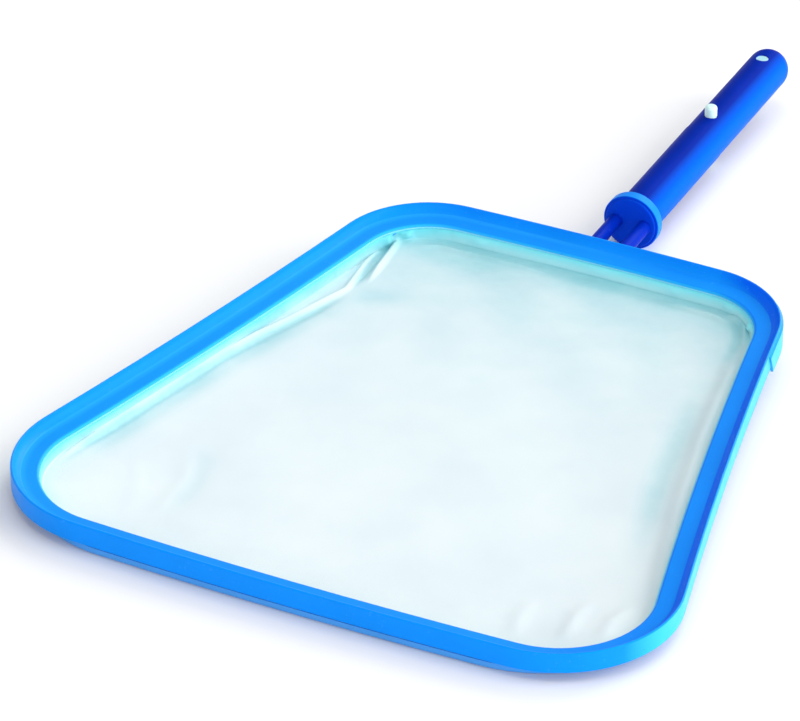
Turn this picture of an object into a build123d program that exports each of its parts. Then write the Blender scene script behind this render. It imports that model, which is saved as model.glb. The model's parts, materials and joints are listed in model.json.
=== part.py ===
from build123d import *
import math
import os

# Leaf skimmer net. Millimetres. The handle runs along +Y, the mouth of the net faces +Z.
# The origin is on the handle's axis, at the face of the collar that the pole stops against.

# --- handle -------------------------------------------------------------------------------
TUBE_R = 14.0               # outside radius of the part that a pole slides over
TUBE_FRONT_R = 13.7         # the outer half is a little slimmer, to find the pole's mouth
TUBE_BORE_R = 11.7
TUBE_STEP_Y = 105.0         # end of the full-size land
TUBE_STRAIGHT_Y = 212.8     # where the domed tip starts
BUTTON_Y = 118.0
BUTTON_HOLE_R = 4.3
PEG_Y = 203.0
PEG_R = 4.2
PEG_HALF = 13.0             # the peg's flat ends lie just inside the tube's crown

FLANGE_R = 18.5
FLANGE_T = 7.0
NOSE_R = 16.6
NOSE_T = 1.0
SPIGOT_R = 11.65
SPIGOT_L = 26.0
TUBE_SCREW_Y = 13.0

# --- prongs -------------------------------------------------------------------------------
PRONG_R = 4.5
PRONG_X = 9.6
PRONG_COLLAR_DEPTH = 6.6
PRONG_BRACKET_DEPTH = 11.0
PIN_R = 1.25
PIN_TOP_Z = 0.5

# --- rim ----------------------------------------------------------------------------------
REAR_WALL_Y = -61.0         # outer wall at the middle of the rim's rear edge
RIM_LENGTH = 404.0          # rear edge to front edge, between the sharp corners
REAR_HALF = 134.0           # half widths at the sharp corners
FRONT_HALF = 222.0
SIDE_DIP = 5.0              # the sides curve inwards by this much at their middles
FRONT_BULGE = 7.5           # the front and rear edges curve outwards
REAR_BULGE = 3.0
REAR_CORNER_R = 60.0
FRONT_CORNER_R = 71.0
CREST_Z = 19.0              # top of the rim above the handle's axis
SKIRT_DEPTH = 12.7          # crest to the bottom of the outer wall
LIP_INSET = 16.1            # outer wall to the face of the inner lip
LIP_DEPTH = 8.4             # crest to the bottom of the inner lip
LIP_TOP = 6.6               # crest to the top of the lip's round edge
LIP_SHOULDER = 1.9          # the round edge starts this far from the lip's face
SEAT_INSET = 12.4           # the flat seat for the hem starts here
WALL = 2.2
CORNER_Y = REAR_WALL_Y - REAR_BULGE
MIDDLE_Y = CORNER_Y - RIM_LENGTH / 2

BUMPER_PROUD = 1.2
BUMPER_DEPTH = 17.4
BUMPER_REACH = (52.0, 64.0)  # at the handle's level and at the crest: its ends slant
BUMPER_CENTRE = (128.0, CORNER_Y - 16.0)

RING_OUTER = 1.1
RING_INNER = 15.0
RING_TOP = 13.7
RING_DEPTH = 18.0
RING_WEB = 1.8
RING_RIB = 1.9
RING_CORNER_R = 84.0        # its front corners cut inside those of the rim

HEM_OUTER = 13.2
HEM_INNER = 16.6
HEM_TOP = 8.45
HEM_T = 0.9
NET_FLANGE_T = 0.6
NET_DEPTH = 8.4
NET_FLOOR_INSET = 18.8
NET_T = 0.9

# --- fixings ------------------------------------------------------------------------------
SCREW_INSET = 8.2
SCREW_STATIONS = (0.09, 0.27, 0.435, 0.60, 0.85, 0.955)   # along half the rim, from the rear
SCREW_R = 1.4
SCREW_HEAD_R = 2.7
SCREW_HEAD_T = 0.9
SCREW_TOP_Z = 10.5
BOSS_R = 3.0
BOSS_TOP_Z = 12.2           # the bosses end inside the rim's top

BRACKET_HALF = 23.0
BRACKET_CORE_HALF = 14.0
BRACKET_BOTTOM_Z = -6.5
BRACKET_TOP_Z = CREST_Z - 13.6
BRACKET_CORE_Z = CREST_Z - 9.2
BRACKET_SCREW_X = 18.5
BRACKET_SCREW_Y = REAR_WALL_Y - 7.0
BRACKET_PIN_Y = REAR_WALL_Y - 6.5

# --- spring and buttons -------------------------------------------------------------------
SPRING_HALF_WIDTH = 6.5
SPRING_T = 0.6
SPRING_Z = 8.4              # middle of each leaf, above and below the axis
SPRING_END_Y = 110.5
SPRING_BEND_Y = 207.5
SPRING_PEG_HOLE_R = 4.6
BUTTON_R = 4.0
BUTTON_SHANK_R = 3.7
BUTTON_FOOT_R = 5.4
BUTTON_FOOT_T = 1.4
BUTTON_HEAD_Z = 13.6
BUTTON_TOP_Z = 20.7
RIVET_R = 1.5
RIVET_HEAD_R = 3.0
RIVET_HEAD_T = 0.7
RIVET_L = 6.0


def inset_edge(edge, inset):
    """The edge moved towards the middle of the rim; an arc stays an arc about its own centre."""
    points = []
    for t in (0, 0.5, 1):
        point = edge @ t
        tangent = edge % t
        inward = Vector(-tangent.Y, tangent.X, 0)
        if inward.dot(Vector(0, MIDDLE_Y, 0) - point) < 0:
            inward = -inward
        points.append(point + inward * inset)
    if edge.geom_type == GeomType.LINE:
        return Line(points[0], points[2])
    return ThreePointArc(*points)


def outline(inset, front_radius=FRONT_CORNER_R):
    """Face bounded by the rim's plan shape, this far in from its outer wall, at height 0."""
    front_y = CORNER_Y - RIM_LENGTH
    middle_x = (REAR_HALF + FRONT_HALF) / 2 - SIDE_DIP
    rear_left = (-REAR_HALF, CORNER_Y)
    rear_right = (REAR_HALF, CORNER_Y)
    front_left = (-FRONT_HALF, front_y)
    front_right = (FRONT_HALF, front_y)
    face = make_face([
        ThreePointArc(rear_left, (0, REAR_WALL_Y), rear_right),
        ThreePointArc(rear_right, (middle_x, MIDDLE_Y), front_right),
        ThreePointArc(front_right, (0, front_y - FRONT_BULGE), front_left),
        ThreePointArc(front_left, (-middle_x, MIDDLE_Y), rear_left),
    ])
    face = fillet(face.vertices().group_by(Axis.Y)[-1], REAR_CORNER_R)
    face = fillet(face.vertices().group_by(Axis.Y)[0], front_radius)
    return make_face([inset_edge(edge, inset) for edge in face.edges()])


def half_path(inset):
    """Right half of the outline at crest level, from the middle of one end to the other."""
    right = Pos(500, MIDDLE_Y) * Rectangle(1000, 1000)
    half = outline(inset) & right
    edges = [edge for edge in half.edges() if edge.center().X > 0.01]
    return Pos(0, 0, CREST_Z) * Wire(edges)


def from_rear(path, t):
    """Point at fraction t of a half path, counted from the rear edge."""
    return path @ t if (path @ 0).Y > (path @ 1).Y else path @ (1 - t)


def both_sides(solid):
    """The solid and its mirror image, as one."""
    return solid + mirror(solid, about=Plane.YZ)


def swept(section):
    """A band around the rim. Its section's x is the inset, and its y the height from the crest."""
    path = half_path(0)
    start = path @ 0
    inward = Vector(0, math.copysign(1, MIDDLE_Y - start.Y), 0)
    plane = Plane(origin=start, x_dir=inward, z_dir=inward.cross(Vector(0, 0, 1)))
    return both_sides(sweep(plane * section, path=path))


def prism(face, z_low, z_high):
    """Upright solid over a face, between two heights."""
    return extrude(Pos(0, 0, z_low) * face, amount=z_high - z_low)


def rod(x, y, z_low, z_high, radius):
    """Upright cylinder between two heights."""
    height = z_high - z_low
    return Pos(x, y, z_low + height / 2) * Cylinder(radius, height)


def bar(x, y_low, y_high, radius, z=0.0):
    """Cylinder along Y between two places."""
    length = y_high - y_low
    return Pos(x, y_low + length / 2, z) * Rot(90, 0, 0) * Cylinder(radius, length)


def block(x_low, x_high, y_low, y_high, z_low, z_high):
    """Box between two corners."""
    size = (x_high - x_low, y_high - y_low, z_high - z_low)
    middle = ((x_low + x_high) / 2, (y_low + y_high) / 2, (z_low + z_high) / 2)
    return Pos(*middle) * Box(*size)


def screw_places():
    """Plan positions of the screws that hold the clamp ring."""
    path = half_path(SCREW_INSET)
    places = []
    for t in SCREW_STATIONS:
        p = from_rear(path, t)
        places.append((p.X, p.Y))
        places.append((-p.X, p.Y))
    return places


def rim_section():
    """Outer wall, crest, steep hollow curve, gentle shelf and round lip; open below."""
    crest_end = (1.4, -0.2)
    curve_end = (6.0, -5.7)
    lip_start = (LIP_INSET - LIP_SHOULDER, -LIP_TOP)
    lip_end = (LIP_INSET, -LIP_DEPTH + 0.3)
    crest = ThreePointArc((0, -0.9), (0.32, -0.27), (0.9, 0))
    curve = ThreePointArc(crest_end, (2.9, -3.7), curve_end)
    lip = ThreePointArc(lip_start, (LIP_INSET - 0.55, -LIP_TOP - 0.5), lip_end)
    under = Polyline(
        lip_end,
        (LIP_INSET, -LIP_DEPTH),
        (SEAT_INSET, -LIP_DEPTH),
        (5.0, -7.4),
        (WALL, -4.6),
        (WALL, -SKIRT_DEPTH),
        (0.4, -SKIRT_DEPTH),
        (0, -SKIRT_DEPTH + 0.4),
        (0, -0.9),
    )
    shelf = Line(curve_end, lip_start)
    return make_face([crest, Line((0.9, 0), crest_end), curve, shelf, lip, *under.edges()])


def bumper():
    """Proud band that deepens the outer wall round each rear corner, down past the ring."""
    section = make_face(Polyline(
        (0.5, -1.0),
        (0.0, -1.0),
        (-BUMPER_PROUD, -2.6),
        (-BUMPER_PROUD, -BUMPER_DEPTH + 0.8),
        (-BUMPER_PROUD + 0.8, -BUMPER_DEPTH),
        (0.5, -BUMPER_DEPTH),
        close=True,
    ))
    x, y = BUMPER_CENTRE
    near = Cone(*BUMPER_REACH, CREST_Z)
    band = swept(section)
    return [band & Pos(side * x, y, CREST_Z / 2) * near for side in (-1, 1)]


def make_upper_rim():
    web_z = CREST_Z - RING_DEPTH + RING_WEB
    bosses = [(x, y, web_z) for x, y in screw_places()]
    bosses += [(side * BRACKET_SCREW_X, BRACKET_SCREW_Y, BRACKET_TOP_Z) for side in (-1, 1)]
    rim = swept(rim_section())
    for band in bumper():
        rim = rim + band
    for x, y, z in bosses:
        rim = rim + rod(x, y, z, BOSS_TOP_Z, BOSS_R)
    for x, y, z in bosses:
        rim = rim - rod(x, y, z - 1, SCREW_TOP_Z, SCREW_R)
    return rim


def make_clamp_ring():
    """Channel that closes the rim from below: outer band, web, and the wall under the hem."""
    bottom = CREST_Z - RING_DEPTH
    web_top = bottom + RING_WEB
    band_top = CREST_Z - RING_TOP
    wall_top = CREST_Z - HEM_TOP - HEM_T - NET_FLANGE_T - 0.05
    outer = outline(RING_OUTER, RING_CORNER_R)
    ring = prism(outer, bottom, band_top)
    ring = fillet(ring.edges().group_by(Axis.Z)[0], 1.4)
    ring = ring - prism(outline(RING_OUTER + RING_RIB, RING_CORNER_R), web_top, band_top + 1)
    ring = ring + prism(outline(RING_INNER - RING_RIB), bottom, wall_top)
    ring = ring - prism(outline(RING_INNER), bottom - 1, CREST_Z)
    for x, y in screw_places():
        ring = ring - rod(x, y, bottom - 1, bottom + SCREW_HEAD_T + 0.05, SCREW_HEAD_R + 0.15)
        ring = ring - rod(x, y, bottom, web_top + 1, SCREW_R + 0.2)
    gap = BRACKET_HALF + 0.2
    return ring - block(-gap, gap, REAR_WALL_Y - 20, REAR_WALL_Y + 5, -1, CREST_Z)


def make_net_hem():
    top = -HEM_TOP
    return swept(make_face(Polyline(
        (HEM_OUTER, top),
        (HEM_INNER, top),
        (HEM_INNER, top - HEM_T),
        (HEM_OUTER, top - HEM_T),
        close=True,
    )))


def make_net():
    """Shallow tray of cloth: a flat border under the hem, a sloping wall and a flat floor."""
    top = -HEM_TOP - HEM_T
    bottom = top - NET_DEPTH
    wall = swept(make_face(Polyline(
        (HEM_OUTER, top),
        (HEM_INNER + NET_T, top),
        (NET_FLOOR_INSET + NET_T, bottom + NET_T),
        (NET_FLOOR_INSET + NET_T, bottom),
        (NET_FLOOR_INSET, bottom),
        (HEM_INNER, top - NET_FLANGE_T),
        (HEM_OUTER, top - NET_FLANGE_T),
        close=True,
    )))
    floor = outline(NET_FLOOR_INSET + NET_T / 2)
    return wall + prism(floor, CREST_Z + bottom, CREST_Z + bottom + NET_T)


def make_ring_screws():
    bottom = CREST_Z - RING_DEPTH
    screws = []
    for x, y in screw_places():
        head = rod(x, y, bottom, bottom + SCREW_HEAD_T, SCREW_HEAD_R)
        shank = rod(x, y, bottom + SCREW_HEAD_T, SCREW_TOP_Z, SCREW_R)
        slot = block(x - 1.6, x + 1.6, y - 0.3, y + 0.3, bottom - 1, bottom + 0.5)
        cross = block(x - 0.3, x + 0.3, y - 1.6, y + 1.6, bottom - 1, bottom + 0.5)
        screws.append(head + shank - slot - cross)
    return Compound(children=screws)


def make_rear_bracket():
    """Block under the middle of the rear edge, with a socket for each prong."""
    y_rear = REAR_WALL_Y - RING_OUTER
    y_front = REAR_WALL_Y - RING_INNER
    body = block(-BRACKET_HALF, BRACKET_HALF, y_front, y_rear, BRACKET_BOTTOM_Z, BRACKET_TOP_Z)
    body = fillet(body.edges().filter_by(Axis.Z), 1.5)
    body = fillet(body.edges().group_by(Axis.Z)[0], 1.2)
    core = block(
        -BRACKET_CORE_HALF, BRACKET_CORE_HALF,
        REAR_WALL_Y - 9.2, REAR_WALL_Y - 3.2,
        BRACKET_TOP_Z - 1, BRACKET_CORE_Z,
    )
    body = body + core
    for side in (-1, 1):
        body = body - bar(side * PRONG_X, y_rear - PRONG_BRACKET_DEPTH, y_rear + 1, PRONG_R)
        body = body - rod(side * PRONG_X, BRACKET_PIN_Y, BRACKET_BOTTOM_Z - 1, 0, SCREW_R)
        head_top = BRACKET_BOTTOM_Z + SCREW_HEAD_T + 0.2
        x = side * PRONG_X
        body = body - rod(x, BRACKET_PIN_Y, BRACKET_BOTTOM_Z - 1, head_top, SCREW_HEAD_R + 0.1)
        x = side * BRACKET_SCREW_X
        body = body - rod(x, BRACKET_SCREW_Y, BRACKET_BOTTOM_Z - 1, 20, SCREW_R)
        body = body - rod(x, BRACKET_SCREW_Y, BRACKET_BOTTOM_Z - 1, head_top, SCREW_HEAD_R + 0.1)
    return body


def countersunk(x, y, z_low, z_high):
    """Screw that points up, with its slotted head at the bottom."""
    screw = rod(x, y, z_low, z_low + SCREW_HEAD_T, SCREW_HEAD_R) + rod(x, y, z_low, z_high, SCREW_R)
    return screw - block(x - 1.8, x + 1.8, y - 0.35, y + 0.35, z_low - 1, z_low + 0.5)


def make_bracket_screws():
    z_low = BRACKET_BOTTOM_Z + 0.2
    return Compound(children=[
        countersunk(side * BRACKET_SCREW_X, BRACKET_SCREW_Y, z_low, SCREW_TOP_Z)
        for side in (-1, 1)
    ])


def make_prong_screws():
    z_low = BRACKET_BOTTOM_Z + 0.2
    return Compound(children=[
        countersunk(side * PRONG_X, BRACKET_PIN_Y, z_low, 0.0)
        for side in (-1, 1)
    ])


def make_prong(side):
    """Round rod from the bracket's socket to the collar's socket."""
    x = side * PRONG_X
    y_front = REAR_WALL_Y - RING_OUTER - PRONG_BRACKET_DEPTH
    y_rear = -FLANGE_T - NOSE_T + PRONG_COLLAR_DEPTH
    prong = bar(x, y_front, y_rear, PRONG_R)
    prong = chamfer(prong.edges(), 0.5)
    prong = prong - rod(x, BRACKET_PIN_Y, -10, 0, SCREW_R)
    return prong - rod(x, -FLANGE_T / 2, -10, PIN_TOP_Z, PIN_R)


def make_collar():
    """Flange that stops the pole, its nose with the prong sockets, and the spigot in the tube."""
    flange = bar(0, -FLANGE_T, 0, FLANGE_R)
    flange = fillet(flange.edges(), 0.9)
    nose = bar(0, -FLANGE_T - NOSE_T, -FLANGE_T + 1, NOSE_R)
    nose = fillet(nose.edges().group_by(Axis.Y)[0], 0.8)
    spigot = bar(0, -1, SPIGOT_L, SPIGOT_R)
    spigot = chamfer(spigot.edges().group_by(Axis.Y)[-1], 1.0)
    collar = flange + nose + spigot - bar(0, 4, SPIGOT_L + 1, SPIGOT_R - 3.5)
    for side in (-1, 1):
        x = side * PRONG_X
        front = -FLANGE_T - NOSE_T
        collar = collar - bar(x, front - 1, front + PRONG_COLLAR_DEPTH, PRONG_R)
        collar = collar - rod(x, -FLANGE_T / 2, -FLANGE_R - 1, PIN_TOP_Z, PIN_R)
    return collar - rod(0, TUBE_SCREW_Y, -TUBE_R, 0, SCREW_R)


def make_collar_pins():
    """Dowels driven up through the flange into the prongs."""
    low = -math.sqrt(FLANGE_R ** 2 - (PRONG_X + PIN_R) ** 2) + 0.2
    return Compound(children=[
        rod(side * PRONG_X, -FLANGE_T / 2, low, PIN_TOP_Z, PIN_R)
        for side in (-1, 1)
    ])


def make_handle_tube():
    """Tube with a domed tip, open towards the collar, drilled for the buttons and the peg."""
    land = bar(0, 0, TUBE_STEP_Y, TUBE_R)
    land = chamfer(land.edges().group_by(Axis.Y)[-1], 0.28)
    front = bar(0, TUBE_STEP_Y - 1, TUBE_STRAIGHT_Y, TUBE_FRONT_R)
    tip = Pos(0, TUBE_STRAIGHT_Y, 0) * Sphere(TUBE_FRONT_R)
    bore = bar(0, -1, TUBE_STRAIGHT_Y, TUBE_BORE_R) + Pos(0, TUBE_STRAIGHT_Y, 0) * Sphere(TUBE_BORE_R)
    tube = land + front + tip - bore
    tube = tube - rod(0, BUTTON_Y, -30, 30, BUTTON_HOLE_R)
    tube = tube - rod(0, PEG_Y, -30, 30, PEG_R)
    tube = tube - rod(0, TUBE_SCREW_Y, -30, 0, SCREW_HEAD_R + 0.1)
    return tube


def make_tube_screw():
    """Screw up through the underside of the tube into the spigot, its head below the surface."""
    return countersunk(0, TUBE_SCREW_Y, -TUBE_R + 0.5, -TUBE_BORE_R + 4.5)


def make_anchor_peg():
    """Dowel across the tube near its tip, which passes through both leaves of the spring."""
    peg = rod(0, PEG_Y, -PEG_HALF, PEG_HALF, PEG_R)
    return chamfer(peg.edges().filter_by(GeomType.CIRCLE), 0.3)


def make_v_spring():
    """Strip bent double: two leaves along the handle, joined by a round bend near the tip."""
    def layer(half_gap):
        flat = Pos((SPRING_END_Y + SPRING_BEND_Y) / 2, 0) * Rectangle(SPRING_BEND_Y - SPRING_END_Y,
                                                                      2 * half_gap)
        return flat + Pos(SPRING_BEND_Y, 0) * Circle(half_gap)

    side_view = layer(SPRING_Z + SPRING_T / 2) - layer(SPRING_Z - SPRING_T / 2)
    open_end = Pos(SPRING_END_Y, 0) * Rectangle(2, 4 * SPRING_Z)
    side_view = side_view - open_end
    plane = Plane(origin=(0, 0, 0), x_dir=(0, 1, 0), z_dir=(1, 0, 0))
    spring = extrude(plane * side_view, amount=SPRING_HALF_WIDTH, both=True)
    spring = spring - rod(0, PEG_Y, -20, 20, SPRING_PEG_HOLE_R)
    return spring - rod(0, BUTTON_Y, -20, 20, RIVET_R + 0.05)


def make_button():
    """Snap button: foot on the leaf, slim shank in the tube's wall, round-topped head."""
    foot_z = SPRING_Z + SPRING_T / 2
    foot = rod(0, BUTTON_Y, foot_z, foot_z + BUTTON_FOOT_T, BUTTON_FOOT_R)
    shank = rod(0, BUTTON_Y, foot_z, BUTTON_HEAD_Z, BUTTON_SHANK_R)
    head = rod(0, BUTTON_Y, BUTTON_HEAD_Z, BUTTON_TOP_Z, BUTTON_R)
    head = fillet(head.edges().group_by(Axis.Z)[-1], 2.2)
    return foot + shank + head - rod(0, BUTTON_Y, foot_z - 1, foot_z + RIVET_L, RIVET_R)


def make_rivet():
    """Rivet that joins a button to its leaf."""
    inside = SPRING_Z - SPRING_T / 2
    head = rod(0, BUTTON_Y, inside - RIVET_HEAD_T, inside, RIVET_HEAD_R)
    head = fillet(head.edges().group_by(Axis.Z)[0], 0.4)
    return head + rod(0, BUTTON_Y, inside - 0.1, inside + SPRING_T + RIVET_L, RIVET_R)


def upside_down(solid):
    """Mirror image below the handle's axis."""
    return mirror(solid, about=Plane.XY)


def main():
    os.makedirs("parts", exist_ok=True)
    nodes = {
        "upper_rim": make_upper_rim(),
        "clamp_ring": make_clamp_ring(),
        "net_hem": make_net_hem(),
        "net": make_net(),
        "ring_screws": make_ring_screws(),
        "rear_bracket": make_rear_bracket(),
        "bracket_screws": make_bracket_screws(),
        "prong_screws": make_prong_screws(),
        "left_prong": make_prong(-1),
        "right_prong": make_prong(1),
        "collar": make_collar(),
        "collar_pins": make_collar_pins(),
        "handle_tube": make_handle_tube(),
        "tube_screw": make_tube_screw(),
        "anchor_peg": make_anchor_peg(),
        "v_spring": make_v_spring(),
        "upper_button": make_button(),
        "upper_rivet": make_rivet(),
        "lower_button": upside_down(make_button()),
        "lower_rivet": upside_down(make_rivet()),
    }
    for name, shape in nodes.items():
        export_step(shape, f"parts/{name}.step")


main()
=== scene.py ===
import json
import math

import bpy
import numpy as np
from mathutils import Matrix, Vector


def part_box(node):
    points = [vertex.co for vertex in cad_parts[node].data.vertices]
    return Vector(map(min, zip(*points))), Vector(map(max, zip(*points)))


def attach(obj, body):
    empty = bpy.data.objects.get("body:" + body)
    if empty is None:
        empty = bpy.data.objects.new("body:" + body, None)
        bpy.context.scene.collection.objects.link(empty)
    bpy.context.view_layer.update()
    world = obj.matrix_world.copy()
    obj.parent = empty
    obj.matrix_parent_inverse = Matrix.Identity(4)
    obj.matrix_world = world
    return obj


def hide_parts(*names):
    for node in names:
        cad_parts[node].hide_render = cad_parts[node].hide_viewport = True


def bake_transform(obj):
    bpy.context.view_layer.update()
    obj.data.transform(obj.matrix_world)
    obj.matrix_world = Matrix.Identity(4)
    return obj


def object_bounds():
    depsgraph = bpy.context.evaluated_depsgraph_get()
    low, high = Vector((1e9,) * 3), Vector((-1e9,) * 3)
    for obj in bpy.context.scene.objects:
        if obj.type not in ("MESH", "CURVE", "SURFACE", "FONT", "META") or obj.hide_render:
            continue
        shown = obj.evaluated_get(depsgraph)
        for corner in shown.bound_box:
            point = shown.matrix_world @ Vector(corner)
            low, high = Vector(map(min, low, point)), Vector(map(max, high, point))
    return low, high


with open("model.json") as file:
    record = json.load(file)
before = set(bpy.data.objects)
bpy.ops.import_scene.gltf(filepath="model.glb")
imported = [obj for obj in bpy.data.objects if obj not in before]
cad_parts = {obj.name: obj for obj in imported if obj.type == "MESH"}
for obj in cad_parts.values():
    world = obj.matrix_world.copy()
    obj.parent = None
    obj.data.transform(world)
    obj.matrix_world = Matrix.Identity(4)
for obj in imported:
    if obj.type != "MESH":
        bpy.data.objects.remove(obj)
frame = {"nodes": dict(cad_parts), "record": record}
CAD_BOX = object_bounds()
MM = 0.001
ROOT = "skimmer"
TURN = 2 * math.pi

# --- plan shape of the rim, in millimetres: the same numbers as the CAD ----------------------
REAR_WALL_Y, REAR_BULGE = -61.0, 3.0
RIM_LENGTH, FRONT_BULGE = 404.0, 7.5
REAR_HALF, FRONT_HALF, SIDE_DIP = 134.0, 222.0, 5.0
REAR_CORNER_R, FRONT_CORNER_R = 60.0, 71.0
CORNER_Y = REAR_WALL_Y - REAR_BULGE
FRONT_Y = CORNER_Y - RIM_LENGTH
MIDDLE_Y = CORNER_Y - RIM_LENGTH / 2
POINT_SPACING, FEWEST_STEPS = 2.0, 8

# --- net and hem, in millimetres: insets are measured from the rim's outer wall ---------------
HEM_OUTER, HEM_INNER = 13.3, 16.9
HEM_TOP_Z, HEM_LOW_Z = 10.53, 9.68
HEM_GAP, HEM_BEVEL = 0.02, 0.25         # free height above the tape, and its inner edge's bevel
HEM_TOP_INSETS, HEM_UNDER_INSET = (14.6, 15.9), 15.0
HEM_WAVE, HEM_WAVE_STEPS = 0.05, 3.0
BORDER_Z, FLOOR_Z = 9.37, 1.75
WALL_DEPTH = BORDER_Z - FLOOR_Z
BORDER_INSETS = (HEM_OUTER, 14.6, 15.6, 16.4)
WALL_INSET, FOOT_INSET = 16.9, 17.7     # the soft wall's top and its foot
WALL_STEPS = (0.03, 0.10, 0.20, 0.32, 0.44, 0.56, 0.68, 0.79, 0.88, 0.95, 1.0)
WALL_TOP_ROUND, WALL_TOP_POWER, WALL_FOOT_POWER = 0.3, 6, 2.2
FOOT_LIFT, FOOT_BLEND = 0.12, 0.02      # the floor's rise to the foot, and the share that it spreads over
NET_CENTRE = np.array([0.0, MIDDLE_Y - 8])
FLOOR_BANDS = ((0.0, 0.16, 33), (0.16, 0.42, 25), (0.42, 0.97, 25))     # from share, to share, loops
FLOOR_REACH = 200.0                     # rough distance from the wall's foot to the centre
CLOTH_T = 0.28


# --- plan outline -----------------------------------------------------------------------------
def circle_through(a, b, c):
    """Centre and radius of the circle through three points."""
    rows = np.array([b - a, c - a]) * 2
    sides = np.array([b @ b - a @ a, c @ c - a @ a])
    centre = np.linalg.solve(rows, sides)
    return centre, float(np.linalg.norm(a - centre))


def meeting(c1, r1, c2, r2, near):
    """The crossing of two circles that lies nearer to a point."""
    gap = c2 - c1
    d = np.linalg.norm(gap)
    reach = (r1 * r1 - r2 * r2 + d * d) / (2 * d)
    half = math.sqrt(max(r1 * r1 - reach * reach, 0.0))
    foot = c1 + gap / d * reach
    normal = np.array([-gap[1], gap[0]]) / d
    return min((foot + normal * half, foot - normal * half), key=lambda p: np.linalg.norm(p - near))


def touch(centre, radius, other):
    """The point of a circle that lies towards another centre."""
    way = other - centre
    return centre + way / np.linalg.norm(way) * radius


def right_half_arcs():
    """Arcs of the outer wall's right half: centre, radius, first and last point, and +1 if convex."""
    rear_middle, rear_corner = np.array([0, REAR_WALL_Y]), np.array([REAR_HALF, CORNER_Y])
    front_middle, front_corner = np.array([0, FRONT_Y - FRONT_BULGE]), np.array([FRONT_HALF, FRONT_Y])
    side_middle = np.array([(REAR_HALF + FRONT_HALF) / 2 - SIDE_DIP, MIDDLE_Y])
    c_rear, r_rear = circle_through(rear_corner * [-1, 1], rear_middle, rear_corner)
    c_front, r_front = circle_through(front_corner * [-1, 1], front_middle, front_corner)
    c_side, r_side = circle_through(rear_corner, side_middle, front_corner)
    corner_a = meeting(c_rear, r_rear - REAR_CORNER_R, c_side, r_side + REAR_CORNER_R, rear_corner)
    corner_b = meeting(c_front, r_front - FRONT_CORNER_R, c_side, r_side + FRONT_CORNER_R, front_corner)
    a1, a2 = touch(c_rear, r_rear, corner_a), touch(c_side, r_side, corner_a)
    b2, b1 = touch(c_side, r_side, corner_b), touch(c_front, r_front, corner_b)
    return [
        (c_rear, r_rear, rear_middle, a1, 1),
        (corner_a, REAR_CORNER_R, a1, a2, 1),
        (c_side, r_side, a2, b2, -1),
        (corner_b, FRONT_CORNER_R, b2, b1, 1),
        (c_front, r_front, b1, front_middle, 1),
    ]


ARCS = right_half_arcs()


def outline(inset):
    """Closed loop of plan points, clockwise from the middle of the rear edge, at an inset."""
    points = []
    for centre, radius, first, last, convex in ARCS:
        a, b = (math.atan2(*(p - centre)[::-1]) for p in (first, last))
        turn = (b - a + math.pi) % TURN - math.pi
        steps = max(FEWEST_STEPS, int(radius * abs(turn) / POINT_SPACING))
        angles = a + turn * np.arange(steps) / steps
        r = radius - convex * inset
        points.append(centre + r * np.column_stack([np.cos(angles), np.sin(angles)]))
    centre, radius, _, last, convex = ARCS[-1]
    way = (last - centre) / radius
    half = np.vstack(points + [(centre + way * (radius - convex * inset))[None, :]])
    left = half[1:-1][::-1] * [-1, 1]
    return np.vstack([half, left])


LOOP = outline(0.0)
NORMALS = outline(1.0) - LOOP
N_LOOP = len(LOOP)


# --- meshes -----------------------------------------------------------------------------------
def add_object(name, verts, faces, material, smooth=True):
    """New mesh object from points in millimetres."""
    mesh = bpy.data.meshes.new(name)
    mesh.from_pydata([tuple(float(c) * MM for c in v) for v in verts], [], [tuple(f) for f in faces])
    mesh.validate()
    mesh.update()
    obj = bpy.data.objects.new(name, mesh)
    bpy.context.scene.collection.objects.link(obj)
    mesh.materials.append(material)
    if smooth:
        mesh.polygons.foreach_set("use_smooth", [True] * len(mesh.polygons))
    return obj


def rows_to_faces(n_rows, n_loop, closed_rows=False):
    """Quads between successive closed loops of points."""
    faces = []
    last = n_rows if closed_rows else n_rows - 1
    for i in range(last):
        j = (i + 1) % n_rows
        for k in range(n_loop):
            m = (k + 1) % n_loop
            faces.append((i * n_loop + k, i * n_loop + m, j * n_loop + m, j * n_loop + k))
    return faces


def at_height(points, z):
    """Plan points with one height, or a height each."""
    return np.column_stack([points, np.full(len(points), z)])


# --- shape of the cloth -----------------------------------------------------------------------
WAVES_PER_OCTAVE, OCTAVE_STEP = 5, 1.9
WAVE_SPREAD = (0.75, 1.3)


def smooth_noise(x, y, seed, scale, octaves):
    """Sum of a few fixed waves, for gentle unevenness."""
    rng = np.random.default_rng(seed)
    total = np.zeros_like(x)
    for octave in range(octaves):
        finer = OCTAVE_STEP ** octave
        for _ in range(WAVES_PER_OCTAVE):
            angle = rng.uniform(0, TURN)
            phase = rng.uniform(0, TURN)
            k = TURN / (scale / finer) * rng.uniform(*WAVE_SPREAD)
            total += np.sin(k * (x * math.cos(angle) + y * math.sin(angle)) + phase) / finer
    return total / WAVES_PER_OCTAVE


def ramp(t, low, high):
    """Smooth step from 0 at low to 1 at high."""
    u = np.clip((t - low) / (high - low), 0, 1)
    return u * u * (3 - 2 * u)


def bell(x, y, place, reach):
    """1 at a place, falling off around it."""
    return np.exp(-((x - place[0]) ** 2 + (y - place[1]) ** 2) / reach ** 2)


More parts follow.
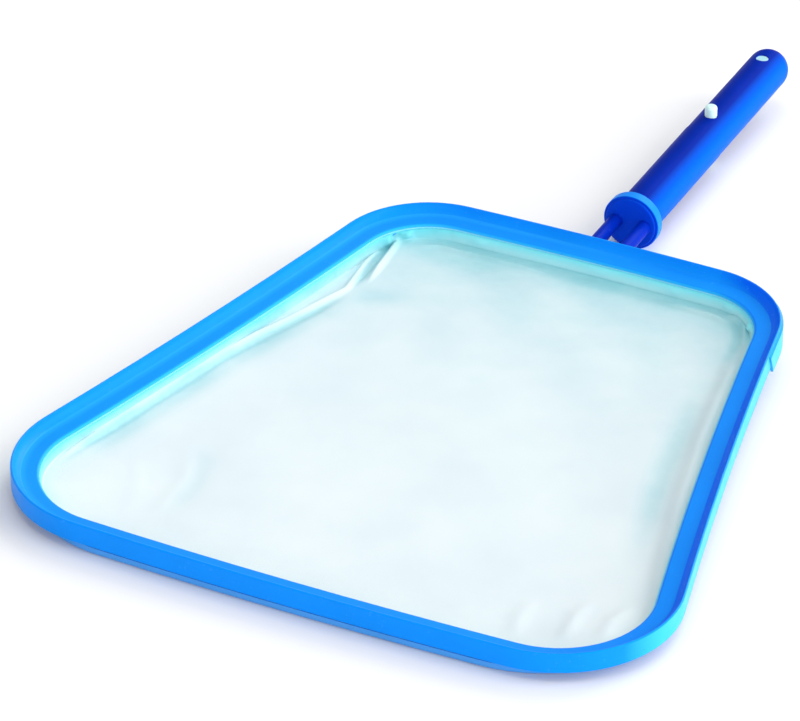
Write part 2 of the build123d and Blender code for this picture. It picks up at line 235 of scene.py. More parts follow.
def along(points, x, y):
    """Distance from each point to a polyline, and how far along it is (0 to 1)."""
    best = np.full(x.shape, np.inf)
    place = np.zeros(x.shape)
    points = np.array(points, float)
    lengths = np.linalg.norm(np.diff(points, axis=0), axis=1)
    total, done = lengths.sum(), 0.0
    for a, b, length in zip(points[:-1], points[1:], lengths):
        d = (b - a) / length
        t = np.clip((x - a[0]) * d[0] + (y - a[1]) * d[1], 0, length)
        distance = np.hypot(x - a[0] - t * d[0], y - a[1] - t * d[1])
        closer = distance < best
        best = np.where(closer, distance, best)
        place = np.where(closer, (done + t) / total, place)
        done += length
    return best, place


def near_line(x, y, points, width, fades):
    """1 on a line across the cloth, falling off on both sides and over shares of its two ends."""
    distance, place = along(points, x, y)
    start, end = fades
    rise = ramp(place, 0, start) if start > 0 else 1
    fall = 1 - ramp(place, 1 - end, 1) if end > 0 else 1
    return np.exp(-(distance / width) ** 2) * rise * fall


LEFT_STRETCH = 0.40         # share of the rim's length, each way from its middle, that has no corner


def beside_left(ys, inset):
    """Plan points at an inset from the left wall, one for each y along its length."""
    line = outline(inset)
    left = line[(line[:, 0] < 0) & (np.abs(line[:, 1] - MIDDLE_Y) < RIM_LENGTH * LEFT_STRETCH)]
    order = np.argsort(left[:, 1])
    return [(float(np.interp(y, left[order, 1], left[order, 0])), y) for y in ys]


# Folds in the cloth: points, height, half width, and the shares of the line that fade in and out
FOLDS = [
    # the long fold beside the left wall, up into the rear corner, and a swell at that wall's foot
    (beside_left((-404, -360, -320, -280, -258), 18.2)
     + [(-145, -228), (-135, -200), (-126, -173), (-121, -159), (-124, -128), (-123, -107)],
     2.3, 1.5, (0.12, 0.04)),
    (beside_left((-410, -360, -320, -280, -240, -205), 16.5), 1.5, 6.0, (0.15, 0.25)),
    # a short fold in the rear left corner, with a valley beside it
    ([(-118, -86), (-117, -103), (-115, -126), (-113, -149)], 2.6, 1.6, (0.02, 0.35)),
    ([(-121, -90), (-120, -128), (-119, -152)], -2.0, 2.2, (0.02, 0.3)),
    # along the rear edge
    ([(-112, -99), (-92, -89), (-66, -88), (-39, -87), (-11, -88)], 1.6, 2.2, (0.2, 0.4)),
    ([(46, -87), (70, -88), (89, -89), (104, -93)], 1.6, 2.2, (0.4, 0.2)),
    # round the rear right corner, and down the right side
    ([(96, -84), (106, -87), (113, -94), (117, -103), (119, -114)], 2.0, 1.5, (0.2, 0.3)),
    ([(119, -118), (126, -147), (131, -179), (137, -212), (144, -242), (153, -282), (170, -345),
      (184, -395)], 2.6, 5.0, (0.10, 0.25)),
    # faint ones in the front left corner
    ([(-133, -350), (-116, -369), (-110, -387), (-109, -409), (-112, -433)], 0.35, 5.0, (0.4, 0.3)),
    ([(-152, -372), (-136, -392), (-126, -412), (-122, -436)], 0.3, 4.5, (0.4, 0.4)),
    # three side by side near the front right corner
    ([(150, -385), (146, -408), (150, -438)], 1.0, 4.5, (0.4, 0.3)),
    ([(172, -380), (166, -404), (168, -430)], 1.0, 4.5, (0.4, 0.3)),
    ([(120, -400), (118, -420), (124, -444)], 0.7, 5.0, (0.4, 0.3)),
]
# Where the cloth lies low beside a fold, and where shade is painted on it: points, depth, painted shade,
# half width, fades
HOLLOWS = [
    # inside the long fold at the left: a narrow deep one and a wide shallow one
    (beside_left((-410, -380, -340, -300, -262), 21.2)
     + [(-140, -228), (-130, -200), (-121, -174), (-115, -157)], 0.9, 1.0, 3.0, (0.15, 0.15)),
    (beside_left((-404, -380, -340, -300, -262), 27.0)
     + [(-135, -228), (-125, -200), (-116, -174), (-108, -157)], 0.3, 0.50, 7.5, (0.15, 0.25)),
    # round the front left corner
    ([(-204, -402), (-196, -424), (-178, -441), (-150, -450)], 0.0, 0.40, 9.0, (0.3, 0.4)),
    # in the rear left corner, and out of it across the floor
    ([(-127, -90), (-123, -99), (-120.5, -110), (-119.5, -128), (-118, -158)], 0.0, 1.0, 2.8, (0.0, 0.3)),
    ([(-128, -88), (-124, -97)], 0.0, 0.80, 4.0, (0.0, 0.0)),
    ([(-118, -168), (-108, -160), (-94, -152), (-74, -140)], 0.2, 0.30, 11.0, (0.3, 0.5)),
    # along the rear edge
    ([(-110, -104), (-90, -99), (-58, -99), (-20, -101)], 0.2, 0.28, 10.0, (0.2, 0.5)),
    ([(-110, -95), (-88, -86), (-54, -86), (-12, -87), (32, -87), (84, -88)],
     0.3, 0.24, 5.0, (0.15, 0.15)),
    # round the rear right corner, and down the right side
    ([(100, -90), (109, -95), (114, -106), (117, -122), (119, -140)], 0.2, 0.45, 4.0, (0.25, 0.4)),
    ([(108, -124), (114, -163), (121, -198), (127, -231), (135, -271), (146, -320), (158, -370)],
     0.9, 0.50, 8.5, (0.5, 0.45)),
    # beside the faint folds at the front left
    ([(-126, -344), (-108, -363), (-102, -385), (-102, -408), (-104, -430)], 0.2, 0.22, 7.0, (0.4, 0.4)),
]
# Pleats that run up the soft wall to the rim: plan place, how far each stands in, half width
WALL_PLEATS = [
    ((-120, -84), 1.9, 2.6), ((-126, -91), -1.7, 2.6), ((-131, -98), 1.5, 2.4),
    ((118, -97), 1.8, 2.6), ((122, -107), -0.7, 3.0), ((96, -82), 0.8, 4.0), ((60, -80), 0.6, 7.0),
    ((-70, -80), 0.7, 8.0), ((10, -79), 0.5, 10.0),
]
# Small ripples of the wall, at the corners only: length in loop points, height, phase
GATHERS = ((4.1, 0.10, 0.0), (7.3, 0.16, 1.0))
GATHERED_CORNERS = (((-98, -100), 60), ((98, -100), 60), ((-150, -405), 70), ((150, -405), 70))
RIPPLE_GAIN, RIPPLE_END = 1.6, 0.8      # the wall's ripples fade out at this share of its drop
# The cloth is held a little higher in the corners: place, reach and lift
CORNER_LIFTS = (
    ((-178, -432), 34, 3.2), ((178, -432), 34, 2.4), ((-112, -86), 20, 1.0), ((112, -86), 20, 1.0),
)
# Unevenness of the floor: height, wavelength and seed; the wrinkles are drawn out across the net
SLACK, WRINKLES, WRINKLE_STRETCH = (0.16, 150.0, 3), (0.05, 26.0, 5), 0.55
# Painted shade on the cloth: the floor towards the rear, the left wall, and patches (share, size, seed)
BACK_SHADE, BACK_REACH, BACK_EDGE_Y = 0.70, 85.0, CORNER_Y - 22.0
LEFT_WALL_SHADE, LEFT_WALL_ZONE = 0.90, (REAR_HALF - 60, REAR_HALF - 30)
SIDE_SLOPE = (FRONT_HALF - REAR_HALF) / RIM_LENGTH
PATCHES = (0.30, 55.0, 11)
# Fall from the border over which the wall's painted shade turns into the floor's
FOOT_ZONE = (WALL_DEPTH - 1.5, WALL_DEPTH - 0.1)
# Reach of the painted blue light that the rim throws on the cloth, and its longer reach at the rear
EDGE_FADE, REAR_FADE = 4.2, 9.0
REAR_ZONE = (CORNER_Y - 60, CORNER_Y - 30)


def floor_height(x, y):
    """Height of the cloth's flat part, from its folds, hollows, wrinkles and slack."""
    z = np.full(x.shape, FLOOR_Z)
    for points, height, width, fades in FOLDS:
        z += height * near_line(x, y, points, width, fades)
    for points, depth, _, width, fades in HOLLOWS:
        z -= depth * near_line(x, y, points, width, fades)
    for place, reach, lift in CORNER_LIFTS:
        z += lift * bell(x, y, place, reach)
    height, length, seed = SLACK
    z += height * smooth_noise(x, y, seed, length, 2)
    height, length, seed = WRINKLES
    return z + height * smooth_noise(x * WRINKLE_STRETCH, y, seed, length, 2)


def cloth_shade(x, y, fall):
    """Painted shade on the cloth, 0 to 1: in its hollows, on its left wall and towards the rear."""
    on_floor = ramp(fall, *FOOT_ZONE)
    shade = on_floor * BACK_SHADE * np.exp((y - BACK_EDGE_Y) / BACK_REACH)
    at_left = ramp((y - CORNER_Y) * SIDE_SLOPE - x, *LEFT_WALL_ZONE)
    shade += LEFT_WALL_SHADE * at_left * (1 - on_floor)
    for points, _, strength, width, fades in HOLLOWS:
        shade += strength * near_line(x, y, points, width, fades)
    share, length, seed = PATCHES
    return np.clip(shade * (1 + share * smooth_noise(x, y, seed, length, 3)), 0, 1)


def wall_gathers():
    """How far each point of the soft wall stands in, from its ripples and its pleats."""
    corners = sum(bell(LOOP[:, 0], LOOP[:, 1], place, reach) for place, reach in GATHERED_CORNERS)
    steps = np.arange(N_LOOP)
    gather = sum(height * np.sin(steps * TURN / length + phase) for length, height, phase in GATHERS)
    gather = gather * np.clip(corners, 0, 1)
    wall = LOOP + NORMALS * WALL_INSET
    for place, proud, width in WALL_PLEATS:
        nearest = wall[np.argmin(np.hypot(*(wall - place).T))]
        gather += proud * np.exp(-(np.hypot(*(wall - nearest).T) / width) ** 2)
    return gather


def net_rows():
    """The cloth's loops from its border inwards: points, the same points unfolded flat, and the fall."""
    rows = []
    for inset in BORDER_INSETS:
        points = at_height(LOOP + NORMALS * inset, BORDER_Z)
        rows.append((points, LOOP + NORMALS * (inset - WALL_DEPTH), 0.0))
    foot = LOOP + NORMALS * FOOT_INSET
    foot_z = floor_height(foot[:, 0], foot[:, 1]) + FOOT_LIFT
    gather = wall_gathers()
    for down in WALL_STEPS:
        inset = WALL_INSET - WALL_TOP_ROUND * (1 - down) ** WALL_TOP_POWER
        inset += (FOOT_INSET - WALL_INSET) * down ** WALL_FOOT_POWER
        ripple = RIPPLE_GAIN * gather * math.sin(math.pi * min(down / RIPPLE_END, 1.0))
        z = BORDER_Z - (BORDER_Z - foot_z) * down
        points = at_height(LOOP + NORMALS * (inset + ripple)[:, None], z)
        rows.append((points, LOOP + NORMALS * (inset - WALL_DEPTH * (1 - down)), down * WALL_DEPTH))
    for first, last, loops in FLOOR_BANDS:
        for share in np.linspace(first, last, loops + 1)[1:]:
            p = foot + (NET_CENTRE - foot) * share
            z = floor_height(p[:, 0], p[:, 1]) + FOOT_LIFT * math.exp(-share / FOOT_BLEND)
            rows.append((at_height(p, z), p, WALL_DEPTH + share * FLOOR_REACH))
    return rows


def paint(obj, name, values):
    """Stores one number per vertex for the material to read."""
    layer = obj.data.attributes.new(name, "FLOAT", "POINT")
    layer.data.foreach_set("value", np.asarray(values, dtype=np.float32))


def make_net_cloth(material):
    """The net: border under the hem, over the ring's edge, down a soft wall and across the floor."""
    rows = net_rows()
    centre = NET_CENTRE[None, :]
    centre_z = floor_height(centre[:, 0], centre[:, 1])
    verts = np.vstack([points for points, _, _ in rows] + [at_height(centre, centre_z)])
    faces = rows_to_faces(len(rows), N_LOOP)
    last = (len(rows) - 1) * N_LOOP
    faces += [(last + k, last + (k + 1) % N_LOOP, len(verts) - 1) for k in range(N_LOOP)]
    net = add_object("net_cloth", verts, [f[::-1] for f in faces], material)
    fall = np.append(np.repeat([fall for _, _, fall in rows], N_LOOP), WALL_DEPTH + FLOOR_REACH)
    # painted shade: darkens the cloth's colour in its hollows, on its left wall and towards the rear
    paint(net, "shade", cloth_shade(verts[:, 0], verts[:, 1], fall))
    # painted light: blue light from the rim, strongest at the border and fading down the wall
    reach = EDGE_FADE + (REAR_FADE - EDGE_FADE) * ramp(verts[:, 1], *REAR_ZONE)
    paint(net, "edge", np.exp(-fall / reach))
    flat = at_height(np.vstack([unfolded for _, unfolded, _ in rows] + [centre]), 0.0) * MM
    net.data.attributes.new("flat", "FLOAT_VECTOR", "POINT").data.foreach_set("vector", flat.ravel())
    return net


def make_hem_tape(material):
    """Woven tape along the net's border, whose inner edge is very slightly wavy."""
    wave = HEM_WAVE * np.sin(np.arange(N_LOOP) * TURN / HEM_WAVE_STEPS)
    top_z = HEM_TOP_Z - HEM_GAP
    outer_side = [(HEM_OUTER, HEM_LOW_Z), (HEM_OUTER, top_z - 0.10), (HEM_OUTER + 0.15, top_z)]
    top = [(inset, top_z) for inset in HEM_TOP_INSETS]
    inner_side = [
        (HEM_INNER - HEM_BEVEL, top_z - 0.03), (HEM_INNER - 0.02, HEM_TOP_Z - HEM_BEVEL),
        (HEM_INNER, HEM_LOW_Z + HEM_BEVEL), (HEM_INNER - 0.2, HEM_LOW_Z),
    ]
    rows = [at_height(LOOP + NORMALS * inset, z) for inset, z in outer_side + top]
    rows += [at_height(LOOP + NORMALS * (inset + wave)[:, None], z) for inset, z in inner_side]
    rows.append(at_height(LOOP + NORMALS * HEM_UNDER_INSET, HEM_LOW_Z))
    return add_object("net_hem_tape", np.vstack(rows), rows_to_faces(len(rows), N_LOOP, True), material)


# --- material nodes ---------------------------------------------------------------------------
WHITE = (1.0, 1.0, 1.0, 1.0)


def linear(r, g, b):
    """Linear colour of an sRGB colour given from 0 to 255."""
    shares = (c / 255 for c in (r, g, b))
    return tuple(c / 12.92 if c <= 0.04045 else ((c + 0.055) / 1.055) ** 2.4 for c in shares) + (1.0,)


def scaled(colour, k):
    """A colour made darker or brighter."""
    return tuple(min(c * k, 1.0) for c in colour[:3]) + (1.0,)


class Nodes:
    """Small helper that builds a node tree for one material. Its sizes are in metres."""

    def __init__(self, name):
        self.material = bpy.data.materials.new(name)
        self.material.use_nodes = True
        self.tree = self.material.node_tree
        self.shader = self.tree.nodes["Principled BSDF"]
        self.coords = self.add("ShaderNodeTexCoord").outputs["Object"]

    def add(self, kind, **values):
        """New node with some of its settings."""
        node = self.tree.nodes.new(kind)
        for key, value in values.items():
            setattr(node, key, value)
        return node

    def link(self, a, b):
        """Joins an output to an input."""
        self.tree.links.new(a, b)

    def feed(self, socket, value):
        """Gives an input a number, a colour or another node's output."""
        if isinstance(value, (int, float, tuple)):
            socket.default_value = value
        else:
            self.link(value, socket)

    def give(self, name, value):
        """Gives an input of the shader a number, a colour or another node's output."""
        self.feed(self.shader.inputs[name], value)

    def noise(self, scale, detail=3.0, roughness=0.5, stretch=None):
        """Noise from 0 to 1, drawn out along an axis where stretch is small."""
        node = self.add("ShaderNodeTexNoise")
        for key, number in (("Scale", scale), ("Detail", detail), ("Roughness", roughness)):
            node.inputs[key].default_value = number
        source = self.coords
        if stretch:
            mapping = self.add("ShaderNodeMapping")
            mapping.inputs["Scale"].default_value = stretch
            self.link(source, mapping.inputs["Vector"])
            source = mapping.outputs["Vector"]
        self.link(source, node.inputs["Vector"])
        return node.outputs["Fac"]

    def ranged(self, value, low, high, from_low=0.0, from_high=1.0):
        """A value that runs from low to high as another runs over its range."""
        node = self.add("ShaderNodeMapRange")
        self.link(value, node.inputs["Value"])
        ends = {"From Min": from_low, "From Max": from_high, "To Min": low, "To Max": high}
        for key, number in ends.items():
            node.inputs[key].default_value = number
        return node.outputs["Result"]

    def patches(self, scale, detail=3.0, low=0.0, high=1.0):
        """Soft patches of noise, from one level to another."""
        return self.ranged(self.noise(scale, detail), low, high, 0.3, 0.7)

    def split(self, vector):
        """X, Y and Z of a vector."""
        node = self.add("ShaderNodeSeparateXYZ")
        self.link(vector, node.inputs["Vector"])
        return node.outputs

    def normal(self):
        """X, Y and Z of the surface's normal."""
        return self.split(self.add("ShaderNodeNewGeometry").outputs["Normal"])

    def attribute(self, name, output="Fac"):
        """What is painted on the mesh under a name."""
        return self.add("ShaderNodeAttribute", attribute_name=name).outputs[output]

    def math(self, operation, a, b=None):
        """Arithmetic on one or two values."""
        node = self.add("ShaderNodeMath", operation=operation)
        self.feed(node.inputs[0], a)
        if b is not None:
            self.feed(node.inputs[1], b)
        return node.outputs["Value"]

    def times(self, a, b):
        """Product of two values."""
        return self.math("MULTIPLY", a, b)

    def mix(self, fac, a, b, blend="MIX"):
        """Colour a turned into b, or blended with it."""
        node = self.add("ShaderNodeMix", data_type="RGBA", blend_type=blend)
        for socket, value in ((0, fac), (6, a), (7, b)):
            self.feed(node.inputs[socket], value)
        return node.outputs[2]

    def bump(self, height, strength, distance, normal=None):
        """Relief from a height, on top of another relief if there is one."""
        node = self.add("ShaderNodeBump")
        node.inputs["Strength"].default_value = strength
        node.inputs["Distance"].default_value = distance
        self.link(height, node.inputs["Height"])
        if normal is not None:
            self.link(normal, node.inputs["Normal"])
        return node.outputs["Normal"]

    def moulded(self, flow, rough, grain, shine, tint):
        """Flow lines that change the roughness, a fine grain, slow waves, and the gloss and its tint."""
        self.give("Roughness", self.ranged(self.noise(60.0, 3.0, 0.6, stretch=flow), *rough, 0.3, 0.7))
        fine = self.bump(self.noise(1400.0, 2.0), grain, 0.00008)
        self.give("Normal", self.bump(self.noise(38.0, 2.0, 0.4), 0.10, 0.0005, fine))
        self.give("Specular IOR Level", shine)
        self.give("Specular Tint", tint + (1.0,))


# --- materials --------------------------------------------------------------------------------
LIP_Z = (0.0112, 0.0124)        # faces that look inward are the lip below this, and the groove above
SHELF_Z = 0.0133
# painted highlights on the rim's lip, side walls and shelf line, and painted shade in its groove
LIP_HIGHLIGHT_BLUE, SIDE_HIGHLIGHT_BLUE = (0.030, 0.48, 0.98, 1), (0.062, 0.76, 1.0, 1)
GROOVE_SHADE_BLUE, SHELF_HIGHLIGHT_BLUE = (0.001, 0.150, 0.98, 1), (0.020, 0.400, 0.98, 1)
# painted highlight on the collar flange's round edge
FLANGE_HIGHLIGHT_BLUE = (0.010, 0.25, 0.92, 1)
FLANGE_EDGE_Y = (-0.0073, -0.0068)      # where the painted highlight on the flange's round edge starts
THREAD_PITCH, TAPE_PITCH = 0.0006, 0.0011


def rim_painted_light_tones(n, body):
    """The rim's colour with painted light: painted highlights on its thin inner lip, its side walls and a
    line along the left half of its shelf, and painted shade in its groove where it faces -X.
    """
    normal = n.normal()
    place = n.split(n.coords)
    toward_y = n.math("SUBTRACT", MIDDLE_Y * MM, place["Y"])
    inward = n.math("SUBTRACT", n.times(normal["Y"], toward_y), n.times(normal["X"], place["X"]))
    lip_highlight = n.times(n.ranged(inward, 0.0, 1.0, 0.02, 0.11), n.ranged(place["Z"], 1.0, 0.0, *LIP_Z))
    steep = n.ranged(n.math("ABSOLUTE", normal["X"]), 0.0, 0.55, 0.82, 0.98)
    # painted highlight on the rim's steep side walls
    side = n.times(steep, n.ranged(inward, 1.0, 0.0, -0.05, 0.0))
    groove_shade = n.times(n.ranged(inward, 0.0, 1.0, 0.01, 0.06), n.ranged(place["Z"], 0.0, 1.0, *LIP_Z))
    groove_shade = n.times(groove_shade, n.ranged(normal["X"], 1.0, 0.0, -0.30, 0.0))
    off_shelf = n.math("ABSOLUTE", n.math("SUBTRACT", place["Z"], SHELF_Z))
    upward = n.ranged(normal["Z"], 0.0, 1.0, 0.5, 0.7)
    at_left = n.ranged(place["X"], 1.0, 0.0, -0.03, 0.05)
    shelf_highlight = n.times(n.ranged(off_shelf, 0.55, 0.0, 0.0001, 0.0004), n.times(upward, at_left))
    body = n.mix(groove_shade, body, GROOVE_SHADE_BLUE)
    body = n.mix(shelf_highlight, body, SHELF_HIGHLIGHT_BLUE)
    body = n.mix(lip_highlight, body, LIP_HIGHLIGHT_BLUE)
    return n.mix(side, body, SIDE_HIGHLIGHT_BLUE)


def collar_painted_highlight(n, body):
    """The collar's colour: a painted highlight makes its flange's round edge paler than its face."""
    round_edge = n.ranged(n.math("ABSOLUTE", n.normal()["Y"]), 1.0, 0.0, 0.45, 0.8)
    flange_highlight = n.times(round_edge, n.ranged(n.split(n.coords)["Y"], 0.0, 1.0, *FLANGE_EDGE_Y))
    return n.mix(flange_highlight, body, FLANGE_HIGHLIGHT_BLUE)


def plastic(name, colour, low=0.95, high=1.04, rough=0.38, shine=0.25, tint=(0.35, 0.75, 1.0),
            flow=(1, 1, 1), tones=None):
    """Moulded plastic: faint mottling and specks, flow lines, and a fine grain."""
    n = Nodes(name)
    specks = n.ranged(n.noise(420.0, 2.0), 0.0, 1.0, 0.66, 0.80)
    bright = scaled(colour, high)
    body = n.mix(n.patches(28.0, 4.0), scaled(colour, low), bright)
    # tones, where given, adds painted light to the colour
    if tones:
        body = tones(n, body)
    speck = tuple(c + (1 - c) * 0.02 for c in bright)
    n.give("Base Color", n.mix(specks, body, speck))
    n.moulded(flow, (rough - 0.05, rough + 0.07), 0.10, shine, tint)
    return n.material


def lacquer(name, deep, bright, flow):
    """Blue lacquer with painted light: deep where it faces away from +X, brighter as painted light
    towards +X.
    """
    n = Nodes(name)
    painted_light_share = n.ranged(n.normal()["X"], 0.0, 1.0, 0.38, 0.92)
    flakes = n.ranged(n.noise(900.0, 2.0), 0.0, 1.0, 0.35, 0.65)
    painted_shade_copy = n.mix(n.patches(30.0, 4.0), scaled(deep, 0.92), scaled(deep, 1.05))
    painted_lit_copy = n.mix(flakes, scaled(bright, 0.97), scaled(bright, 1.05))
    n.give("Base Color", n.mix(painted_light_share, painted_shade_copy, painted_lit_copy))
    n.moulded(flow, (0.36, 0.46), 0.08, 0.02, (0.02, 0.30, 1.0))
    return n.material


def steel(name, colour, rough):
    """Drawn steel with fine lines and slight spotting."""
    n = Nodes(name)
    lines = n.noise(700.0, 3.0, 0.6, stretch=(1, 0.08, 1))
    spots = n.ranged(n.noise(260.0), 0.0, 1.0, 0.35, 0.7)
    n.give("Base Color", n.mix(spots, scaled(colour, 0.82), scaled(colour, 1.1)))
    n.give("Roughness", n.ranged(lines, rough - 0.08, rough + 0.14, 0.3, 0.7))
    n.give("Normal", n.bump(lines, 0.2, 0.00005))
    n.give("Metallic", 1.0)
    return n.material


def weave(n, pitch, angle, source):
    """A plain weave: 1 on the middle of a thread, and its relief, with each crossing up or down."""
    mapping = n.add("ShaderNodeMapping")
    mapping.inputs["Rotation"].default_value = (0, 0, angle)
    n.link(source, mapping.inputs["Vector"])
    place = n.split(mapping.outputs["Vector"])
    k = TURN / pitch
    threads = n.math("MAXIMUM", *(n.math("COSINE", n.times(place[axis], k)) for axis in "XY"))
    crossings = n.times(*(n.math("COSINE", n.times(place[axis], k / 2)) for axis in "XY"))
    return threads, n.math("ADD", threads, n.times(crossings, 0.5))


def net_material():
    """Fine white mesh: crossing threads, with painted shade in its hollows and painted blue light from
    the rim beside it.
    """
    n = Nodes("net_mesh_cloth")
    threads, relief = weave(n, THREAD_PITCH, math.radians(3.0), n.attribute("flat", "Vector"))
    clean = n.mix(n.patches(16.0, 4.0), (0.75, 0.845, 0.885, 1), (0.82, 0.90, 0.915, 1))
    # painted light: the cloth turns pale blue near the rim where the painted rim light is high
    painted_rim_bounce = n.mix(n.attribute("edge"), clean, (0.21, 0.92, 1.0, 1))
    # painted shade: the cloth turns this grey-blue where the shade painted on it is high
    painted_shade_grey = n.mix(n.patches(240.0), (0.44, 0.74, 0.78, 1), (0.49, 0.79, 0.82, 1))
    body = n.mix(1.0, painted_rim_bounce, n.mix(n.attribute("shade"), WHITE, painted_shade_grey), blend="MULTIPLY")
    gaps = n.ranged(threads, 0.0, 0.16, 0.6, -0.4)
    n.give("Base Color", n.mix(gaps, body, (0.42, 0.62, 0.70, 1)))
    n.give("Alpha", n.ranged(threads, 0.80, 1.0, -0.3, 0.25))
    n.give("Normal", n.bump(relief, 0.30, 0.00009))
    n.give("Roughness", 0.55)
    n.give("Sheen Weight", 0.25)
    n.give("Sheen Roughness", 0.4)
    return n.material


def tape_material():
    """Pale blue tape, woven on the slant."""
    n = Nodes("hem_tape_weave")
    threads, relief = weave(n, TAPE_PITCH, math.radians(45.0), n.coords)
    tones = n.ranged(threads, 0.0, 1.0, -0.6, 0.8)
    n.give("Base Color", n.mix(tones, linear(96, 208, 244), linear(132, 224, 250)))
    n.give("Normal", n.bump(relief, 0.5, 0.0002))
    n.give("Roughness", n.patches(300.0, low=0.6, high=0.85))
    return n.material


def floor_material():
    """Pale studio surface, very slightly uneven."""
    n = Nodes("studio_floor")
    n.give("Base Color", n.mix(n.noise(3.0), (0.93, 0.935, 0.94, 1), (0.95, 0.955, 0.96, 1)))
    n.give("Roughness", 0.7)
    n.give("Specular IOR Level", 0.2)
    return n.material


WHITE_TINT = WHITE[:3]
MATERIALS = {
    "rim_blue": plastic("rim_plastic", (0.004, 0.275, 0.97), rough=0.36, shine=0.16,
                        tint=(0.15, 0.65, 1.0), tones=rim_painted_light_tones),
    "ring_blue": plastic("ring_plastic", (0.075, 0.340, 0.82)),
    "bracket_blue": plastic("bracket_plastic", (0.003, 0.080, 0.62)),
    "prong_blue": plastic("prong_plastic", (0.0005, 0.024, 0.44), shine=0.06, tint=(0.02, 0.35, 1.0),
                          flow=(1, 0.1, 1)),
    "collar_blue": plastic("collar_plastic", (0.002, 0.060, 0.66), shine=0.08, tint=(0.05, 0.6, 1.0),
                           tones=collar_painted_highlight),
    # painted light: the handle's shaded and lit blues
    "handle_blue": lacquer("handle_lacquer", (0.0003, 0.020, 0.34), (0.001, 0.125, 0.80), (1, 0.06, 1)),
    "button_white": plastic("button_plastic", (0.67, 0.93, 0.91), 0.97, 1.0, 0.28, 0.5, WHITE_TINT),
    "peg_white": plastic("peg_plastic", (0.40, 0.71, 0.80), 0.96, 1.0, 0.35, 0.4, WHITE_TINT),
    "screw_steel": steel("screw_steel", linear(176, 178, 182), 0.34),
    "spring_steel": steel("spring_steel", linear(150, 152, 158), 0.30),
    "net_mesh": net_material(),
    "hem_tape": tape_material(),
}


def dress_frame():
    """Gives every CAD node the material of its slot."""
    for part in frame["record"]["subparts"]:
        obj = frame["nodes"][part["node"]]
        obj.data.materials.clear()
        obj.data.materials.append(MATERIALS[part["material_slot"]])


# --- spring, in millimetres -------------------------------------------------------------------
LEAF_Z, LEAF_T, LEAF_HALF = 8.4, 0.6, 6.5
LEAF_END_Y, BEND_Y, PEG_Y, BUTTON_Y = 110.5, 207.5, 203.0, 118.0
LEAF_STEPS, BEND_STEPS, LEAF_COLUMNS = 60, 12, 13
TIP_LENGTH, TIP_NARROWING = 3.0, 1.5
PEG_HOLE_R, RIVET_HOLE_R = 4.6, 1.6
HOLE_SIDES, DRILL_HALF = 32, 30


def spring_path():
    """Centre line of the upper leaf and its half of the bend: y, z and how far the leaf has turned."""
    path = [(y, LEAF_Z, 0.0) for y in np.linspace(LEAF_END_Y, BEND_Y, LEAF_STEPS)]
    for a in np.linspace(0, math.pi / 2, BEND_STEPS)[1:]:
        path.append((BEND_Y + LEAF_Z * math.sin(a), LEAF_Z * math.cos(a), a))
    return path


def cut_hole(obj, y, radius):
    """Drills a round vertical hole through a mesh."""
    angles = np.linspace(0, TURN, HOLE_SIDES + 1)[:-1]
    ring = np.column_stack([radius * np.cos(angles), y + radius * np.sin(angles)])
    verts = np.vstack([at_height(ring, -DRILL_HALF), at_height(ring, DRILL_HALF)])
    faces = rows_to_faces(2, HOLE_SIDES)
    faces += [tuple(range(HOLE_SIDES))[::-1], tuple(range(HOLE_SIDES, 2 * HOLE_SIDES))]
    drill = add_object("drill", verts, faces, MATERIALS["spring_steel"], smooth=False)
    cutter = obj.modifiers.new("hole", "BOOLEAN")
    cutter.object = drill
    cutter.operation = "DIFFERENCE"
    cutter.solver = "EXACT"
    bpy.context.view_layer.update()
    cut = bpy.data.meshes.new_from_object(obj.evaluated_get(bpy.context.evaluated_depsgraph_get()))
    obj.modifiers.clear()
    obj.data = cut
    bpy.data.objects.remove(drill)


def make_spring_half(name, side):
    """One leaf of the V spring, above or below, with its half of the bend."""
    verts = []
    columns = np.linspace(-1, 1, LEAF_COLUMNS)
    path = spring_path()
    for y, z, a in path:
        near_tip = max(0.0, 1 - (y - LEAF_END_Y) / TIP_LENGTH)
        half = LEAF_HALF - TIP_NARROWING * near_tip ** 2
        for offset, order in ((LEAF_T / 2, columns), (-LEAF_T / 2, columns[::-1])):
            face_y, face_z = y + offset * math.sin(a), z + offset * math.cos(a)
            verts += [(c * half, face_y, side * face_z) for c in order]
    around = 2 * LEAF_COLUMNS
    faces = rows_to_faces(len(path), around)
    last = (len(path) - 1) * around
    for k in range(LEAF_COLUMNS - 1):
        cap = (k, k + 1, around - 2 - k, around - 1 - k)
        faces += [cap[::-1], tuple(last + v for v in cap)]
    if side < 0:
        faces = [f[::-1] for f in faces]
    leaf = add_object(name, verts, faces, MATERIALS["spring_steel"], smooth=False)
    cut_hole(leaf, PEG_Y, PEG_HOLE_R)
    cut_hole(leaf, BUTTON_Y, RIVET_HOLE_R)
    return leaf


# --- camera, lights and floor, in metres ------------------------------------------------------
AZIMUTH, ELEVATION = math.radians(26.36), math.radians(32.32)
CAMERA_DISTANCE, LENS = 2.797, 215.0
LOOK_AT = Vector((-0.04406, -0.24081, 0.019))
LAMP_AIM, LAMP_DISTANCE = Vector((0, -0.22, 0)), 8.0
LAMPS = (       # name, direction, side of its square, brightness
    ("key", (0.85, 0.30, 0.50), 6.0, 0.58),
    ("side", (1.0, -0.15, 0.12), 3.0, 0.42),
    ("back", (0.20, 0.85, 0.50), 5.0, 0.46),
    ("top", (0.0, 0.10, 1.0), 6.0, 0.22),
    ("front", (0.25, -0.90, 0.36), 5.0, 0.31),
)
SURROUND = 0.42
FLANGE_Y = -0.0035          # near the middle of the collar's flange
REST_FRONT = (CAD_BOX[0][1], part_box("clamp_ring")[0][2])    # y and z where the rim's front edge rests
REST_FLANGE = (FLANGE_Y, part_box("collar")[0][2])            # and where the collar's flange does
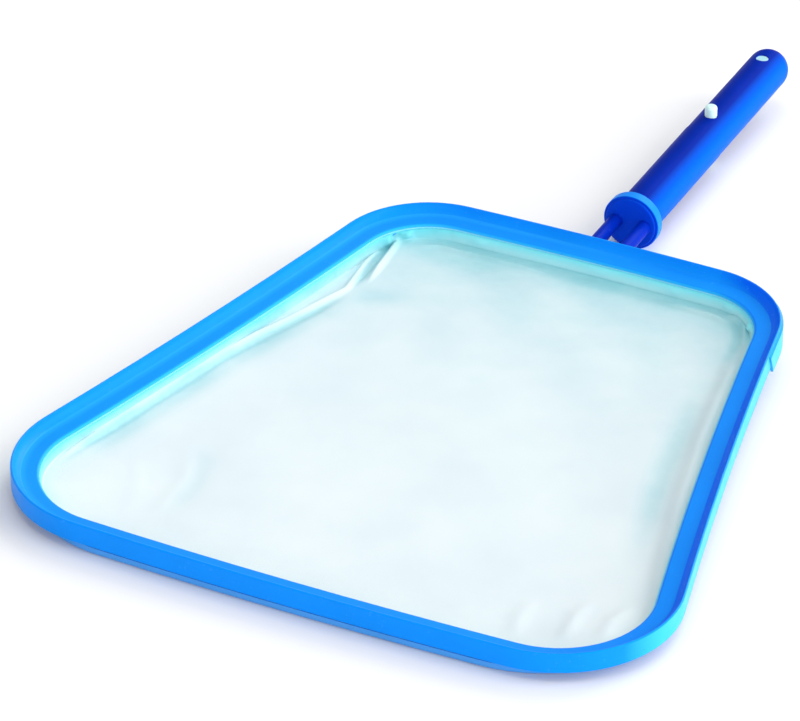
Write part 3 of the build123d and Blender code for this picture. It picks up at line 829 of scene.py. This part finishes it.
FLOOR_HALF, FLOOR_STEPS, FLOOR_GAP = 12.0, 8, 0.0001


def add_camera():
    """Camera that looks down on the net from its front right."""
    flat = math.cos(ELEVATION)
    back = Vector((math.sin(AZIMUTH) * flat, -math.cos(AZIMUTH) * flat, math.sin(ELEVATION)))
    data = bpy.data.cameras.new("camera")
    data.lens = LENS
    data.sensor_width = 36.0
    data.clip_start, data.clip_end = 0.05, 60.0
    camera = bpy.data.objects.new("camera", data)
    bpy.context.scene.collection.objects.link(camera)
    camera.location = LOOK_AT + back * CAMERA_DISTANCE
    camera.rotation_mode = "QUATERNION"
    camera.rotation_quaternion = (-back).to_track_quat("-Z", "Y")
    bpy.context.scene.camera = camera


def add_lights():
    """Key and side light from the right, soft rear, overhead and front fills, and a white surround."""
    for name, way, size, level in LAMPS:
        data = bpy.data.lights.new(name, "AREA")
        data.size = size
        data.energy = level * math.pi ** 2 * LAMP_DISTANCE ** 2
        lamp = bpy.data.objects.new(name, data)
        bpy.context.scene.collection.objects.link(lamp)
        lamp.location = LAMP_AIM + Vector(way).normalized() * LAMP_DISTANCE
        lamp.rotation_mode = "QUATERNION"
        lamp.rotation_quaternion = (-Vector(way)).to_track_quat("-Z", "Y")
    world = bpy.data.worlds.new("studio")
    world.use_nodes = True
    background = world.node_tree.nodes["Background"].inputs
    background["Color"].default_value = WHITE
    background["Strength"].default_value = SURROUND
    bpy.context.scene.world = world
    bpy.context.scene.view_settings.view_transform = "Standard"


def add_floor():
    """Large pale surface that the rim's front edge and the collar's flange both rest on."""
    slope = (REST_FLANGE[1] - REST_FRONT[1]) / (REST_FLANGE[0] - REST_FRONT[0])
    marks = np.linspace(-FLOOR_HALF, FLOOR_HALF, FLOOR_STEPS + 1)
    heights = REST_FRONT[1] + slope * (marks - REST_FRONT[0]) - FLOOR_GAP
    verts = [(x / MM, y / MM, z / MM) for y, z in zip(marks, heights) for x in marks]
    row = len(marks)
    corners = [j * row + i for j in range(FLOOR_STEPS) for i in range(FLOOR_STEPS)]
    faces = [(a, a + 1, a + row + 1, a + row) for a in corners]
    floor = add_object("studio_floor", verts, faces, floor_material())


def build():
    """Makes the soft pieces and the spring, and ties the soft pieces to the frame."""
    dress_frame()
    net = make_net_cloth(MATERIALS["net_mesh"])
    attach(net, ROOT)
    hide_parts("net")
    thickness = net.modifiers.new("thickness", "SOLIDIFY")
    thickness.thickness = CLOTH_T * MM
    thickness.offset = 0.0
    hem = make_hem_tape(MATERIALS["hem_tape"])
    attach(hem, ROOT)
    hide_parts("net_hem")
    for side, word in ((1, "upper"), (-1, "lower")):
        leaf = make_spring_half(f"spring_{word}_leaf", side)
        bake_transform(leaf)
        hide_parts("v_spring")


add_camera()
add_lights()
add_floor()
build()
